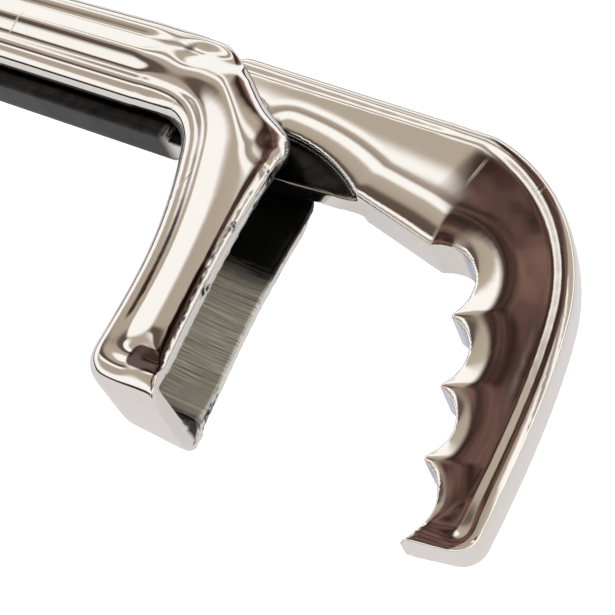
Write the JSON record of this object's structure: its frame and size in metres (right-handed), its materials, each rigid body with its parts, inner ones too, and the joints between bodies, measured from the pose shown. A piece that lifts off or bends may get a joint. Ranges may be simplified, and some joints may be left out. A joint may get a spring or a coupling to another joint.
{
  "type": "nutcracker",
  "caption": "Chromed hand nutcracker: a hollow lever with a U-channel jaw and a solid lever with a scalloped hook jaw, joined on a hidden pin.",
  "frame": {"origin": "on the pivot axis, in the plane of the outside of the far wall", "axes": "+Z is the tool's depth, from the far wall to the near wall; the handles run towards -X and the jaws hang towards -Y"},
  "size_m": [0.1733, 0.0486, 0.014],
  "materials": {
    "plated_shell": "polished plating, worn at the lips",
    "plated_bar": "polished plating",
    "pin_steel": "ground flush",
    "washer_steel": "plain, oiled"
  },
  "bodies": {
    "trough_body": {"trough_lever": "plated_shell", "pivot_pin": "pin_steel", "near_washer": "washer_steel", "far_washer": "washer_steel"},
    "hook_body": {"hook_lever": "plated_bar"}
  },
  "joints": [
    {"name": "lever_pivot", "type": "hinge", "parent": "trough_body", "child": "hook_body", "pos_m": [0, 0, 0], "axis": [0, 0, 1], "range_deg": [0, 34]}
  ]
}
